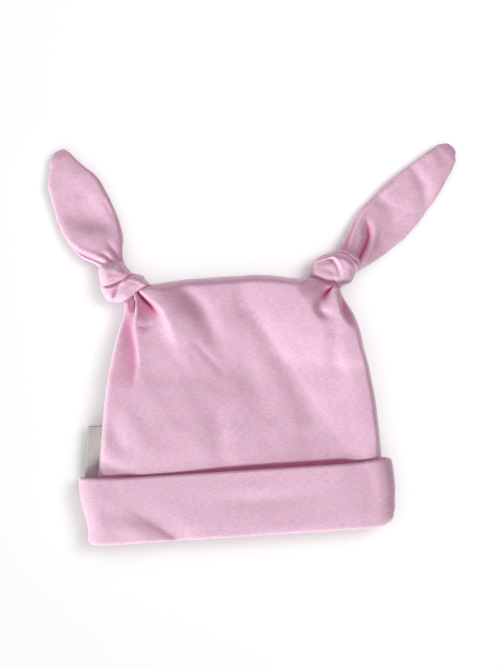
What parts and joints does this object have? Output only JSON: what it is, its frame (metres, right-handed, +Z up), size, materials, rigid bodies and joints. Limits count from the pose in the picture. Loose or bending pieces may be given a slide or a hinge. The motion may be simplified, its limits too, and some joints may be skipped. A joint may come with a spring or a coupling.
{
  "type": "baby hat with knotted ears",
  "caption": "Baby's pink jersey hat lying flat, with knotted rabbit ears at its corners, a turned-up cuff and a bare fabric label in its side seam.",
  "frame": {"origin": "middle of the hat's footprint, on the surface that it lies on", "axes": "+X across the hat to its wearer's left as seen from its front, +Y from the cuff up to the ears, +Z up out of the surface, through the hat's front"},
  "size_m": [0.2254, 0.2194, 0.0211],
  "materials": {
    "jersey": "matte",
    "ribbon": "matte"
  },
  "bodies": {
    "root": {"crown": "jersey", "cuff": "jersey", "ear_left": "jersey", "ear_right": "jersey", "knot_left": "jersey", "knot_right": "jersey", "label": "ribbon"}
  },
  "joints": []
}
